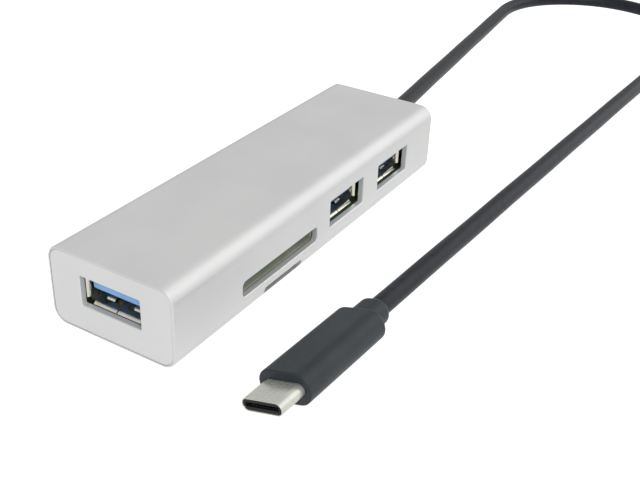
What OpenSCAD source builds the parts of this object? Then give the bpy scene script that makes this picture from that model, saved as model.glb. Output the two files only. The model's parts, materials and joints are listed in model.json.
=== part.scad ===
// USB hub: an aluminium sleeve with three type-A ports, an SD slot, a microSD slot
// and a captive cable that ends in a USB-C plug.
// +X runs along the housing to the cable end, -Y is the side with the ports and +Z is up.
// The origin is the centre of the underside. All sizes are in millimetres.

/* [Housing] */
// Length of the housing from end face to end face
hub_length = 94.4; // [94:0.2:98]
// Width of the housing
hub_width = 27.8; // [27.6:0.2:30]
// Height of the housing
hub_height = 16.1; // [16:0.1:18]
// Radius of the four long corners
corner_r = 3; // [2.8:0.1:3.1]
// Wall thickness of the aluminium sleeve
wall = 1.2; // [1.1:0.05:1.3]
// Thickness of each end cap's plate
cap_t = 1.2; // [1:0.1:1.4]
// How far each cap's collar reaches into the sleeve
collar_depth = 3; // [2:0.5:3]
// Width of the sleeve's rim round each cap's plate
rim_t = 0.45; // [0.4:0.05:0.6]
// Width of the open groove between the rim and the plate
groove_w = 0.1; // [0.1:0.05:0.3]

/* [Ports] */
// Width of each type-A opening in the housing
port_w = 13.4; // [13.3:0.1:14]
// Height of each type-A opening
port_h = 6; // [5.8:0.1:6.4]
// X of the middle port
port_mid_x = 8.8; // [8.5:0.1:9]
// Distance between the two side ports
port_pitch = 19.8; // [19:0.1:20]
// Height of the side ports' centre
side_port_z = 8.1; // [8:0.05:8.3]
// Height of the end port's centre
end_port_z = 8.8; // [8.6:0.05:9]
// Depth of a type-A shell behind its mouth
shell_len = 15.5; // [14:0.5:15.5]
// How far the side ports' mouths sit behind the outer face
side_recess = 2.1; // [2:0.1:2.4]
// How far the end port's mouth sits behind the outer face
end_recess = 1.5; // [1.4:0.1:2]

/* [Card slots] */
// X of the SD slot's centre
sd_x = -15.3; // [-15.6:0.1:-15]
// Width of the SD slot
sd_slot_w = 25.2; // [25:0.1:25.6]
// Height of the SD slot
sd_slot_h = 3.2; // [3:0.1:3.3]
// X of the microSD slot's centre
micro_x = -14.6; // [-15:0.1:-14]
// Width of the microSD slot
micro_slot_w = 12.7; // [12.4:0.1:13]

/* [Board] */
// Thickness of the circuit board
board_t = 1; // [0.8:0.1:1]
// Height of the board's lower face
board_z = 2.95; // [2.95:0.05:3]
// Width of the board
board_w = 24.4; // [24:0.1:24.6]

/* [Cable] */
// Diameter of the cable jacket
cable_d = 4; // [3.8:0.1:4.4]
// Length of the straight run from the housing to the loop, seen from above
hub_run = 116; // [90:1:130]
// Radius of the resting loop, to the cable's centre
loop_r = 30.4; // [24:0.1:34]
// Length of the straight run from the loop to the plug
plug_run = 183.5; // [160:0.1:200]
// Heading of the cable where it leaves the housing, towards +Y
exit_angle = 8; // [0:0.5:10]
// Angle that the whole loop turns through
loop_turn = 190.9; // [184:0.1:194]
// Height of the cable's centre beyond the first run, and of the plug's centre
plug_z = 3.8; // [3.8:0.05:4]

/* [Plug] */
// Width of the plug's overmould
grip_w = 10.4; // [10:0.1:12]
// Thickness of the plug's overmould
grip_t = 6; // [5.8:0.1:6.4]
// Length of the plug's overmould
grip_l = 23.1; // [21:0.1:26]
// Length of the narrower collar behind the overmould
neck_l = 5.1; // [3.5:0.1:5.5]
// Width of the collar
neck_w = 6.2; // [5.8:0.1:7]
// Thickness of the collar
neck_t = 5.2; // [5.1:0.1:5.6]
// How far the metal shell reaches out of the overmould
c_out = 5.9; // [5.6:0.1:6.7]
// Angle that the plug is rolled about its own length as it rests
plug_roll = 18; // [0:1:20]

/* [Hidden] */
$fn = 48;

// Overlap that a cutting shape gets past the face it cuts
cut = 0.5;
// Gap between the pieces that fit inside each other
fit = 0.05;
end_x = hub_length / 2;
side_y = -hub_width / 2;
board_gap = 0.4;
board_l = hub_length - 2 * (cap_t + collar_depth + board_gap);
inner_w = hub_width - 2 * wall;
inner_h = hub_height - 2 * wall;
mid_z = hub_height / 2;
board_top = board_z + board_t;

// Standard type-A receptacle sizes
usb_in_w = 12.5;
usb_in_h = 5.12;
sheet = 0.3;
usb_out_w = usb_in_w + 2 * sheet;
usb_out_h = usb_in_h + 2 * sheet;
tongue_w = 11.1;
tongue_t = 1.84;
tongue_back = 0.5;
base_len = 4;
base_start = shell_len - sheet - base_len;
leg_w = 1.6;

// Cable chain
cable_r = cable_d / 2;
ball_r = cable_r - 0.03;
cup_r = cable_r + 0.03;
hub_runs = 3;
loops = 9;
plug_runs = 3;
loop_step = loop_turn / loops;
stub_out = 3.4;
stub_in = 6;
cable_start = [end_x + stub_out, 0, mid_z];
run_drop = mid_z - plug_z;
exit_dir = [cos(exit_angle), sin(exit_angle), 0];
back_angle = exit_angle - loop_turn;
back_dir = [cos(back_angle), sin(back_angle), 0];
loop_start = cable_start + hub_run * exit_dir - [0, 0, run_drop];
loop_centre = loop_start + loop_r * [sin(exit_angle), -cos(exit_angle), 0];
loop_end = loop_centre + loop_r * [-sin(back_angle), cos(back_angle), 0];
plug_joint = loop_end + plug_run * back_dir;

// ---- Shared shapes ----

// Flat rounded rectangle, centred
module rounded(w, h, r) {
    square([w - 2 * r, h], center = true);
    square([w, h - 2 * r], center = true);
    for (sx = [-1, 1], sy = [-1, 1])
        translate([sx * (w / 2 - r), sy * (h / 2 - r)])
            circle(r = r);
}

// Extrudes a flat shape along +X from x, with its own x to +Y and its own y to +Z
module along_x(x, length) {
    translate([x, 0, 0])
        rotate([90, 0, 90])
            linear_extrude(length)
                children();
}

// Box from its lowest corner, with x and y given as ranges
module block(x0, x1, y0, y1, z0, z1) {
    translate([x0, y0, z0])
        cube([x1 - x0, y1 - y0, z1 - z0]);
}

// Stands its children, drawn along +Z from the origin, on the line from p to q
module on_line(p, q) {
    d = q - p;
    translate(p)
        rotate([0, acos(d.z / norm(d)), atan2(d.y, d.x)])
            children();
}

// Round rod between two points
module rod(p, q, r) {
    on_line(p, q)
        cylinder(r = r, h = norm(q - p));
}

// ---- Housing ----

module housing_profile(shrink = 0) {
    translate([0, mid_z])
        rounded(hub_width - 2 * shrink, hub_height - 2 * shrink, corner_r - shrink);
}

module side_opening(x, z, w, h, r) {
    translate([x, side_y - cut, z])
        rotate([-90, 0, 0])
            linear_extrude(corner_r + 2 * cut)
                rounded(w, h, r);
}

module housing_sleeve() {
    color("silver")
        difference() {
            along_x(-end_x, hub_length)
                housing_profile();
            along_x(-end_x - cut, hub_length + 2 * cut)
                housing_profile(wall);
            // Rebates in both ends for the caps' plates
            for (x = [-end_x - cut, end_x - cap_t])
                along_x(x, cap_t + cut)
                    housing_profile(rim_t);
            for (i = [0, 1])
                translate([port_mid_x + i * port_pitch - port_w / 2, side_y - cut, side_port_z - port_h / 2])
                    cube([port_w, wall + 2 * cut, port_h]);
            side_opening(sd_x, sd_slot_z(), sd_slot_w, sd_slot_h, 0.9);
            side_opening(micro_x, micro_slot_z(), micro_slot_w, micro_slot_h(), 0.5);
        }
}

function sd_slot_z() = board_top + 2.05;
function micro_slot_h() = 1.4;
function micro_slot_z() = wall + fit + micro_slot_h() / 2;

// Plate that lies flush in the sleeve's end, with a collar that slides into the sleeve.
// side is -1 at the port end and 1 at the cable end
module end_cap(side) {
    plate_x = side < 0 ? -end_x : end_x - cap_t;
    ring_x = side < 0 ? -end_x + cap_t : end_x - cap_t - collar_depth;
    collar_wall = 1;
    ring_in = 2 * (fit + collar_wall);
    along_x(plate_x, cap_t)
        housing_profile(rim_t + groove_w);
    difference() {
        along_x(ring_x, collar_depth)
            translate([0, mid_z])
                rounded(inner_w - 2 * fit, inner_h - 2 * fit, corner_r - wall);
        along_x(ring_x - cut, collar_depth + 2 * cut)
            translate([0, mid_z])
                square([inner_w - ring_in, inner_h - ring_in], center = true);
    }
}

module front_cap() {
    color("gainsboro")
        difference() {
            end_cap(-1);
            translate([-end_x - cut, -port_w / 2, end_port_z - port_h / 2])
                cube([cap_t + 2 * cut, port_w, port_h]);
        }
}

grommet_r = 3;

module rear_cap() {
    color("gainsboro")
        difference() {
            end_cap(1);
            translate([end_x - cap_t - cut, 0, mid_z])
                rotate([0, 90, 0])
                    cylinder(r = grommet_r + fit, h = cap_t + 2 * cut);
        }
}

// ---- Board and its supports ----

// The frame is as wide as the flat part of the sleeve's floor
frame_w = hub_width - 2 * corner_r;
frame_rim = 1.8;
peg_x = board_l / 2 - 1.1;
peg_y = (frame_w - frame_rim) / 2;
peg_r = 0.6;

// Plastic frame that stands on the sleeve's floor and carries the board on its rim
module board_frame() {
    hollow_x = board_l / 2 - frame_rim;
    hollow_y = frame_w / 2 - frame_rim;
    color("dimgray") {
        difference() {
            block(-board_l / 2, board_l / 2, -frame_w / 2, frame_w / 2, wall, board_z);
            block(-hollow_x, hollow_x, -hollow_y, hollow_y, wall - cut, board_z + cut);
            block(micro_x - micro_body_w / 2 - 0.3, micro_x + micro_body_w / 2 + 0.3,
                -board_w / 2 - cut, 0, wall - cut, board_z + cut);
        }
        block(-0.9, 0.9, -hollow_y, hollow_y, wall, board_z);
        for (sx = [-1, 1], sy = [-1, 1])
            translate([sx * peg_x, sy * peg_y, board_z])
                cylinder(r = peg_r, h = board_t + 0.3);
    }
}

module main_board() {
    color("seagreen")
        difference() {
            block(-board_l / 2, board_l / 2, -board_w / 2, board_w / 2, board_z, board_top);
            for (sx = [-1, 1], sy = [-1, 1])
                translate([sx * peg_x, sy * peg_y, board_z - cut])
                    cylinder(r = peg_r + fit, h = board_t + 2 * cut);
            at_end_port()
                leg_slots(end_port_z);
            for (i = [0, 1])
                at_side_port(i)
                    leg_slots(side_port_z);
        }
}

chip_t = 0.9;

// Chip with its leads on two sides; face is 1 above the board and -1 below it
module chip(x, y, w, d, t, leads, face) {
    lead_w = 0.3;
    lead_out = 0.6;
    pitch = (w - 1) / (leads - 1);
    z = face > 0 ? board_top : board_z - t;
    lead_z = face > 0 ? board_top : board_z - 0.2;
    block(x - w / 2, x + w / 2, y - d / 2, y + d / 2, z, z + t);
    for (i = [0:leads - 1], s = [-1, 1]) {
        lead_x = x - w / 2 + 0.5 + i * pitch;
        lead_y = y + s * (d + lead_out) / 2;
        translate([lead_x - lead_w / 2, lead_y - lead_out / 2, lead_z])
            cube([lead_w, lead_out, 0.2]);
    }
}

module hub_chip() {
    color([0.12, 0.12, 0.13])
        chip(8.5, 8, 7, 6, chip_t, 12, 1);
}

module card_reader_chip() {
    color([0.12, 0.12, 0.13])
        chip(-27, 0, 6, 6, chip_t, 10, -1);
}

module voltage_regulator() {
    color([0.15, 0.15, 0.15])
        chip(30.5, 8, 6.4, 3.4, 1.5, 3, 1);
}

module power_inductor() {
    size = 4;
    height = 2;
    color("dimgray")
        translate([22, 8, board_top]) {
            translate([-size / 2, -size / 2, 0])
                cube([size, size, 0.5]);
            translate([-size / 2, -size / 2, height - 0.4])
                cube([size, size, 0.4]);
            cylinder(r = size / 2 - 0.3, h = height);
        }
}

module crystals() {
    color("lightgray")
        for (x = [2.2, 16.4])
            block(x - 1, x + 1, 8 - 1.6, 8 + 1.6, board_top, board_top + 0.7);
}

module capacitors() {
    color("burlywood") {
        for (x = [26.2, 35.6, 38.4])
            block(x - 0.6, x + 0.6, 7, 9, board_top, board_top + 0.9);
        for (i = [0:4])
            translate([12 + 5 * i, 6, board_z - 0.8])
                cube([2, 1.2, 0.8]);
    }
}

module resistors() {
    color([0.1, 0.1, 0.1])
        for (i = [0:7], j = [0, 1])
            translate([5 + 3.6 * i, -3.9 + 1.5 * j, board_z - 0.5])
                cube([1.6, 0.8, 0.5]);
}

// ---- Type-A ports, drawn with the mouth at y = 0, the plug entering along +Y and z = 0 at mid height ----

module at_end_port() {
    translate([-end_x + end_recess, 0, end_port_z])
        rotate([0, 0, -90])
            children();
}

module at_side_port(i) {
    translate([port_mid_x + i * port_pitch, side_y + side_recess, side_port_z])
        children();
}

function leg_places() = [for (sx = [-1, 1], y = [6, shell_len - 2]) [sx * (usb_out_w / 2 - sheet / 2), y]];

module leg_slots(port_z) {
    for (p = leg_places())
        translate([p.x - sheet / 2 - fit, p.y - leg_w / 2 - fit, board_z - port_z - cut])
            cube([sheet + 2 * fit, leg_w + 2 * fit, board_t + 2 * cut]);
}

// Lip of the mouth's lower edge: a tab bent outwards
module lip(width) {
    lip_len = 0.8;
    lip_angle = 40;
    rotate([lip_angle, 0, 0])
        translate([-width / 2, -lip_len, -sheet])
            cube([width, lip_len, sheet]);
}

module usb_shell(port_z) {
    side_lip = 4.2;
    base_lip = 5;
    finger_w = 1.8;
    finger_x = 3.1;
    finger_l = 5.2;
    finger_root = 8;
    finger_bend = 6;
    window_w = finger_w + 0.6;
    window_l = finger_l + 0.3;
    lip_y = 0.45;
    color("lightgray") {
        difference() {
            translate([-usb_out_w / 2, lip_y, -usb_out_h / 2])
                cube([usb_out_w, shell_len - lip_y, usb_out_h]);
            translate([-usb_in_w / 2, -cut, -usb_in_h / 2])
                cube([usb_in_w, shell_len + cut - sheet, usb_in_h]);
            translate([-usb_in_w / 2, base_start - fit, -usb_out_h / 2 - cut])
                cube([usb_in_w, base_len + sheet + fit + cut, usb_out_h / 2 + cut]);
            for (sx = [-1, 1], sz = [-1, 1])
                translate([sx * finger_x - window_w / 2, finger_root - window_l, sz * usb_out_h / 2 - 0.5])
                    cube([window_w, window_l, 1]);
        }
        // Spring fingers that press on the plug, bent inwards towards their free ends
        for (sx = [-1, 1], sz = [-1, 1])
            translate([sx * finger_x - finger_w / 2, finger_root, sz * (usb_out_h / 2 - sheet / 2)])
                rotate([sz * finger_bend, 0, 0])
                    translate([0, -finger_l, -sheet / 2])
                        cube([finger_w, finger_l + 0.1, sheet]);
        for (sx = [-1, 1]) {
            translate([sx * (base_lip / 2 + 0.28), lip_y + 0.2, -usb_in_h / 2])
                lip(base_lip);
            translate([sx * (base_lip / 2 + 0.28), lip_y + 0.2, usb_in_h / 2])
                mirror([0, 0, 1])
                    lip(base_lip);
            translate([sx * usb_in_w / 2, lip_y + 0.2, 0])
                rotate([0, sx * -90, 0])
                    lip(side_lip);
        }
        for (p = leg_places())
            translate([p.x - sheet / 2, p.y - leg_w / 2, board_z - 0.8 - port_z])
                cube([sheet, leg_w, port_z - board_z + 0.8 - usb_out_h / 2 + 0.2]);
    }
}

// Plastic tongue on a block that fills the back of the shell and stands on the board
module usb_tongue(port_z) {
    color([0.1, 0.3, 0.65]) {
        translate([-tongue_w / 2, tongue_back, 0])
            cube([tongue_w, base_start + 1 - tongue_back, tongue_t]);
        translate([-usb_in_w / 2 + fit, base_start, board_top - port_z])
            cube([usb_in_w - 2 * fit, base_len - fit, port_z - board_top + usb_in_h / 2 - fit]);
    }
}

// Five pads at the tip of the tongue and four contacts behind them
module usb_contacts() {
    pad_t = 0.15;
    color("gold") {
        for (i = [-2:2])
            translate([i * 2 - 0.35, tongue_back + 0.6, -pad_t])
                cube([0.7, 2, pad_t]);
        for (x = [-3.5, -1, 1, 3.5])
            translate([x - 0.45, tongue_back + 3.2, -pad_t]) {
                cube([0.9, 7, pad_t]);
                translate([0, 1.2, -0.35])
                    cube([0.9, 0.8, 0.4]);
            }
    }
}

module end_port_shell() { at_end_port() usb_shell(end_port_z); }
module end_port_tongue() { at_end_port() usb_tongue(end_port_z); }
module end_port_contacts() { at_end_port() usb_contacts(); }
module mid_port_shell() { at_side_port(0) usb_shell(side_port_z); }
module mid_port_tongue() { at_side_port(0) usb_tongue(side_port_z); }
module mid_port_contacts() { at_side_port(0) usb_contacts(); }
module rear_port_shell() { at_side_port(1) usb_shell(side_port_z); }
module rear_port_tongue() { at_side_port(1) usb_tongue(side_port_z); }
module rear_port_contacts() { at_side_port(1) usb_contacts(); }

// ---- SD socket, on top of the board ----

sd_body_w = 27.2;
sd_front = -board_w / 2 - 0.2;
sd_back = sd_front + 23.6;
sd_card_w = 24.6;
sd_floor = board_top + 0.6;
sd_roof = sd_floor + 2.5;

module sd_socket_base() {
    rear_block = 2.4;
    window_w = 18.2;
    window_y = sd_front + 4;
    color([0.42, 0.44, 0.39])
        difference() {
            block(sd_x - sd_body_w / 2, sd_x + sd_body_w / 2, sd_front, sd_back, board_top, sd_roof);
            block(sd_x - sd_card_w / 2, sd_x + sd_card_w / 2, sd_front - cut, sd_back - rear_block,
                sd_floor, sd_roof + cut);
            // Windows in the floor for the contact springs
            for (i = [0:8])
                translate([sd_contact_x(i) - 0.7, sd_back - rear_block - 8, board_top - cut])
                    cube([1.4, 8, 0.6 + 2 * cut]);
            block(sd_x - window_w / 2, sd_x + window_w / 2, window_y, window_y + 5,
                board_top - cut, sd_floor + cut);
        }
}

function sd_contact_x(i) = sd_x - 10 + i * 2.5;

module sd_socket_cover() {
    t = 0.25;
    color("silver") {
        difference() {
            block(sd_x - sd_body_w / 2 - t - fit, sd_x + sd_body_w / 2 + t + fit, sd_front, sd_back,
                sd_roof + fit, sd_roof + fit + t);
            for (s = [-1, 1])
                translate([sd_x + s * 7 - 2, sd_front + 9, sd_roof - cut])
                    cube([4, 8, t + 2 * cut]);
        }
        for (s = [-1, 1])
            translate([sd_x + s * (sd_body_w / 2 + fit + t / 2) - t / 2, sd_front, board_top])
                cube([t, sd_back - sd_front, sd_roof + fit - board_top + 0.1]);
        // Springs that hold the card down
        for (s = [-1, 1])
            translate([sd_x + s * 7 - 0.8, sd_front + 16.9, sd_roof + fit + t])
                rotate([2.5, 0, 0])
                    translate([0, -6.5, -t])
                        cube([1.6, 6.7, t]);
    }
}

module sd_socket_contacts() {
    color("gold")
        for (i = [0:8])
            translate([sd_contact_x(i) - 0.5, sd_back - 8.6, board_top + 0.1]) {
                cube([1, 6.2, 0.2]);
                translate([0, 0, 0.1])
                    cube([1, 0.8, 0.8]);
            }
}

// ---- MicroSD socket, under the board ----

micro_body_w = 14;
micro_front = side_y + corner_r;
micro_back = micro_front + 15;
micro_card_w = 11.2;
micro_top = board_z;
micro_low = wall + 0.05;
micro_skin = 0.15;
micro_rear_block = 1;
// The slider runs in a channel beside the card
slider_w = 0.95;
slider_x = micro_x + micro_card_w / 2 + fit;
slider_y = micro_back - 5.2;
slider_l = 2;
slider_low = micro_low + micro_skin + 0.1;
slider_h = 1.1;

module micro_socket_base() {
    rail = 0.3;
    color([0.42, 0.44, 0.39])
        difference() {
            block(micro_x - micro_body_w / 2, micro_x + micro_body_w / 2, micro_front, micro_back,
                micro_low + micro_skin, micro_top);
            // Space for the card, open at the front and towards the cover
            block(micro_x - micro_body_w / 2 + rail, micro_x + micro_body_w / 2 - rail,
                micro_front - cut, micro_back - micro_rear_block, micro_low - cut, micro_top - 0.3);
        }
}

module micro_socket_cover() {
    color("silver")
        difference() {
            block(micro_x - micro_body_w / 2, micro_x + micro_body_w / 2, micro_front, micro_back,
                micro_low, micro_low + micro_skin);
            block(micro_x - 3, micro_x + 3, micro_front + 6, micro_front + 10,
                micro_low - cut, micro_low + micro_skin + cut);
        }
}

module micro_socket_contacts() {
    color("gold")
        for (i = [0:7])
            translate([micro_x - 4.2 + i * 1.1, micro_back - 6, micro_top - 0.45])
                cube([0.6, 4.2, 0.15]);
}

// Slider that the card pushes back against the spring, with the arm that catches the card
module micro_slider() {
    color("ivory") {
        block(slider_x, slider_x + slider_w, slider_y, slider_y + slider_l,
            slider_low, slider_low + slider_h);
        block(slider_x - 1.6, slider_x + 0.1, slider_y + 0.4, slider_y + 1.2,
            slider_low, slider_low + 0.8);
    }
}

spring_turns = 4;
spring_steps = 14;
spring_sides = 8;
spring_coil_r = 0.4;
spring_wire_r = 0.09;
spring_gap = spring_wire_r + 0.02;
spring_start = slider_y + slider_l + spring_gap;

// Points of the coil, ring by ring, along +Y from the slider to the rear block
function spring_ring(k) =
    let (
        length = micro_back - micro_rear_block - spring_gap - spring_start,
        a = 360 * k / spring_steps,
        y = length * k / (spring_turns * spring_steps)
    )
    [for (j = [0:spring_sides - 1])
        let (b = 360 * j / spring_sides, r = spring_coil_r + spring_wire_r * cos(b))
        [r * cos(a), y + spring_wire_r * sin(b), r * sin(a)]];

module micro_spring() {
    rings = spring_turns * spring_steps;
    points = [for (k = [0:rings]) each spring_ring(k)];
    walls = [for (k = [0:rings - 1], j = [0:spring_sides - 1])
        let (n = spring_sides, a = k * n + j, b = k * n + (j + 1) % n)
        [a, b, b + n, a + n]];
    first = [[for (j = [spring_sides - 1:-1:0]) j]];
    last = [[for (j = [0:spring_sides - 1]) rings * spring_sides + j]];
    color("gray")
        translate([slider_x + slider_w / 2, spring_start, slider_low + slider_h / 2])
            polyhedron(points = points, faces = concat(walls, first, last));
}

// ---- Cable ----

module cable_grommet() {
    color([0.13, 0.14, 0.15])
        translate([end_x, 0, mid_z])
            rotate([0, 90, 0])
                difference() {
                    union() {
                        translate([0, 0, -cap_t - 1.5])
                            cylinder(r = grommet_r + 1.2, h = 1.5);
                        translate([0, 0, -cap_t])
                            cylinder(r = grommet_r, h = cap_t);
                        cylinder(r1 = grommet_r + 0.8, r2 = grommet_r + 0.4, h = 0.8);
                    }
                    translate([0, 0, -cap_t - 1.5 - cut])
                        cylinder(r = cable_r + 0.01, h = cap_t + 1.5 + 0.8 + 2 * cut);
                }
}

// Fixed end of the cable, from inside the housing to the first bend
module cable_stub() {
    color([0.16, 0.17, 0.19])
        union() {
            rod([end_x - stub_in, 0, mid_z], cable_start, cable_r);
            translate(cable_start)
                sphere(r = ball_r);
        }
}

module cable_wires() {
    wire_r = 0.35;
    from_x = end_x - stub_in - 0.4;
    pad_x = board_l / 2 - 3.6;
    for (i = [0:4])
        color(["red", "black", "green", "white", "blue"][i])
            rod([from_x, (i - 2) * 0.75, mid_z], [pad_x, (i - 2) * 1.6, board_top + 0.42], wire_r);
}

// Straight length of jacket with a cup at p for the ball before it, and a ball at q
module cable_straight(p, q) {
    length = norm(q - p);
    color([0.16, 0.17, 0.19])
        on_line(p, q)
            rotate_extrude()
                difference() {
                    union() {
                        square([cable_r, length]);
                        intersection() {
                            translate([0, length])
                                circle(r = ball_r);
                            translate([0, length - 1])
                                square([cable_r, cable_r + 1]);
                        }
                    }
                    circle(r = cup_r);
                }
}

module hub_run_piece(i) {
    step = (loop_start - cable_start) / hub_runs;
    cable_straight(cable_start + i * step, cable_start + (i + 1) * step);
}

module plug_run_piece(i) {
    step = (plug_joint - loop_end) / plug_runs;
    cable_straight(loop_end + i * step, loop_end + (i + 1) * step);
}

// Curved length of jacket: piece i of the resting loop, drawn about the loop's centre
module loop_piece(i) {
    start_angle = exit_angle + 90 - i * loop_step;
    color([0.16, 0.17, 0.19])
        translate(loop_centre)
            rotate([0, 0, start_angle - loop_step])
                difference() {
                    union() {
                        rotate_extrude(angle = loop_step, $fn = 180)
                            translate([loop_r, 0])
                                circle(r = cable_r);
                        translate([loop_r, 0, 0])
                            sphere(r = ball_r);
                    }
                    rotate([0, 0, loop_step])
                        translate([loop_r, 0, 0])
                            sphere(r = cup_r);
                }
}

module cable_hub_run_1() { hub_run_piece(0); }
module cable_hub_run_2() { hub_run_piece(1); }
module cable_hub_run_3() { hub_run_piece(2); }
module cable_loop_1() { loop_piece(0); }
module cable_loop_2() { loop_piece(1); }
module cable_loop_3() { loop_piece(2); }
module cable_loop_4() { loop_piece(3); }
module cable_loop_5() { loop_piece(4); }
module cable_loop_6() { loop_piece(5); }
module cable_loop_7() { loop_piece(6); }
module cable_loop_8() { loop_piece(7); }
module cable_loop_9() { loop_piece(8); }
module cable_plug_run_1() { plug_run_piece(0); }
module cable_plug_run_2() { plug_run_piece(1); }
module cable_plug_run_3() { plug_run_piece(2); }

// ---- Plug, drawn with its last cable joint at the origin and its tip along +X ----

neck_start = 0.9;
grip_start = neck_start + neck_l;
grip_end = grip_start + grip_l;
// Standard USB-C plug sizes
c_w = 8.25;
c_h = 2.4;
c_sheet = 0.25;
c_in = 5;
c_tip = grip_end + c_out;
mouth_w = 6.8;
mouth_h = 0.8;
mouth_depth = 5;
pin_pitch = 0.5;

module at_plug() {
    translate(plug_joint)
        rotate([0, 0, back_angle])
            rotate([plug_roll, 0, 0])
                children();
}

module c_profile(grow) {
    rounded(c_w + 2 * grow, c_h + 2 * grow, c_h / 2 + grow - 0.02);
}

module plug_neck() {
    color([0.16, 0.17, 0.19])
        at_plug()
            difference() {
                along_x(neck_start, neck_l)
                    rounded(neck_w, neck_t, neck_t / 2 - 0.1);
                sphere(r = cup_r);
            }
}

module plug_overmould() {
    edge = 0.5;
    corner = 2.7;
    color([0.16, 0.17, 0.19])
        at_plug()
            difference() {
                union() {
                    along_x(grip_start, grip_l)
                        rounded(grip_w - 2 * edge, grip_t - 2 * edge, corner - edge);
                    along_x(grip_start + edge, grip_l - 2 * edge)
                        rounded(grip_w, grip_t, corner);
                }
                along_x(grip_end - c_in - fit, c_in + 1)
                    c_profile(fit);
                plug_board_block(0.02);
            }
}

module plug_shell() {
    color("silver")
        at_plug()
            difference() {
                along_x(grip_end - c_in, c_in + c_out)
                    c_profile(0);
                along_x(grip_end - c_in - cut, c_in + c_out + 2 * cut)
                    c_profile(-c_sheet);
            }
}

module plug_insulator() {
    color([0.08, 0.08, 0.08])
        at_plug()
            difference() {
                along_x(grip_end - c_in + 0.1, c_in + c_out - 0.25)
                    c_profile(-c_sheet - 0.03);
                translate([c_tip - mouth_depth, -mouth_w / 2, -mouth_h / 2])
                    cube([mouth_depth + cut, mouth_w, mouth_h]);
                // Grooves for the contacts in both faces of the mouth
                for (i = [0:11], s = [-1, 1])
                    translate([c_tip - mouth_depth, pin_y(i) - 0.11, s * (mouth_h / 2 + 0.05) - 0.1])
                        cube([mouth_depth - 0.6, 0.22, 0.2]);
                // Side slots for the latch
                for (s = [-1, 1])
                    translate([c_tip - mouth_depth - 3, s * (mouth_w / 2 - 0.05) - 0.25, -0.15])
                        cube([mouth_depth + 3 - 0.8, 0.5, 0.3]);
            }
}

function pin_y(i) = (i - 5.5) * pin_pitch;

module plug_contacts() {
    color("gold")
        at_plug()
            for (i = [0:11], s = [-1, 1])
                translate([c_tip - mouth_depth + 0.05, pin_y(i) - 0.11, s * (mouth_h / 2 + 0.08) - 0.07])
                    cube([mouth_depth - 0.8, 0.22, 0.14]);
}

module plug_latch() {
    color("silver")
        at_plug()
            for (s = [-1, 1])
                translate([c_tip - mouth_depth - 2.9, s * (mouth_w / 2 - 0.02) - 0.12, -0.1])
                    cube([mouth_depth + 2.9 - 1, 0.24, 0.2]);
}

module plug_board() {
    color("seagreen")
        at_plug()
            plug_board_block(0);
}

// The plug's board, or the pocket for it when grown
module plug_board_block(grow) {
    length = 9.5;
    width = 8;
    thick = 0.8;
    translate([grip_end - c_in - length - 0.1 - grow, -width / 2 - grow, -thick / 2 - grow])
        cube([length + 2 * grow, width + 2 * grow, thick + 2 * grow]);
}

housing_sleeve();
front_cap();
rear_cap();
board_frame();
main_board();
hub_chip();
card_reader_chip();
voltage_regulator();
power_inductor();
crystals();
capacitors();
resistors();
end_port_shell();
end_port_tongue();
end_port_contacts();
mid_port_shell();
mid_port_tongue();
mid_port_contacts();
rear_port_shell();
rear_port_tongue();
rear_port_contacts();
sd_socket_base();
sd_socket_cover();
sd_socket_contacts();
micro_socket_base();
micro_socket_cover();
micro_socket_contacts();
micro_slider();
micro_spring();
cable_grommet();
cable_stub();
cable_wires();
cable_hub_run_1();
cable_hub_run_2();
cable_hub_run_3();
cable_loop_1();
cable_loop_2();
cable_loop_3();
cable_loop_4();
cable_loop_5();
cable_loop_6();
cable_loop_7();
cable_loop_8();
cable_loop_9();
cable_plug_run_1();
cable_plug_run_2();
cable_plug_run_3();
plug_neck();
plug_overmould();
plug_shell();
plug_insulator();
plug_contacts();
plug_latch();
plug_board();
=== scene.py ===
import json
import math

import bmesh
import bpy
from mathutils import Matrix, Vector


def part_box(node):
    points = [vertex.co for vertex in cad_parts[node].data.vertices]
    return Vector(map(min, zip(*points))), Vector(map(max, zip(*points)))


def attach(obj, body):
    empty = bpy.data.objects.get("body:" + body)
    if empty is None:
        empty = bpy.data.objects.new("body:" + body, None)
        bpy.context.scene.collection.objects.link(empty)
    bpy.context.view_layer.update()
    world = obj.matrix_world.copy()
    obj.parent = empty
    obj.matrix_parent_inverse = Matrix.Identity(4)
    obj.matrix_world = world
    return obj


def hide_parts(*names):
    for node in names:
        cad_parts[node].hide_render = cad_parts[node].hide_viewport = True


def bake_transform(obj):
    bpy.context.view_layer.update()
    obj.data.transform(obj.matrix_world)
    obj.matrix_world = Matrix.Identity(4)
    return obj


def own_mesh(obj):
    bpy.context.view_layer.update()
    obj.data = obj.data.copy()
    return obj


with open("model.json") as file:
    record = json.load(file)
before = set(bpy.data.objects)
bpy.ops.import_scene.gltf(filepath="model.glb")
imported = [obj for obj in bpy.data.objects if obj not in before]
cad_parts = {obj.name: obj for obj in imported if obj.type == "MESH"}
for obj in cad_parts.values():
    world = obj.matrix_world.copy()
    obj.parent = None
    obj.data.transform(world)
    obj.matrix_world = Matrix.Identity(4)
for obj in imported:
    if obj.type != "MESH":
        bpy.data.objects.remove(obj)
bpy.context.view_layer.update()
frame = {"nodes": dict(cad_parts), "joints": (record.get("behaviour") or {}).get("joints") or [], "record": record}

# Shapes are drawn in millimetres and scaled to metres when a piece is finished.
MM = 0.001

# ---- Sizes in millimetres ----

# Housing: corner radius, wall and the chamfer round each opening
CORNER_R, WALL, EDGE = 3.0, 1.2, 0.14
# Housing ends: the rim round each plate, the seam, and how far rim and plate are rounded
RIM_T, SEAM_W, RIM_EDGE, PLATE_EDGE = 0.45, 0.06, 0.32, 0.2
# End plates and the collars behind them
CAP_T, COLLAR_L, COLLAR_WALL = 1.2, 3.0, 1.0
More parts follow.
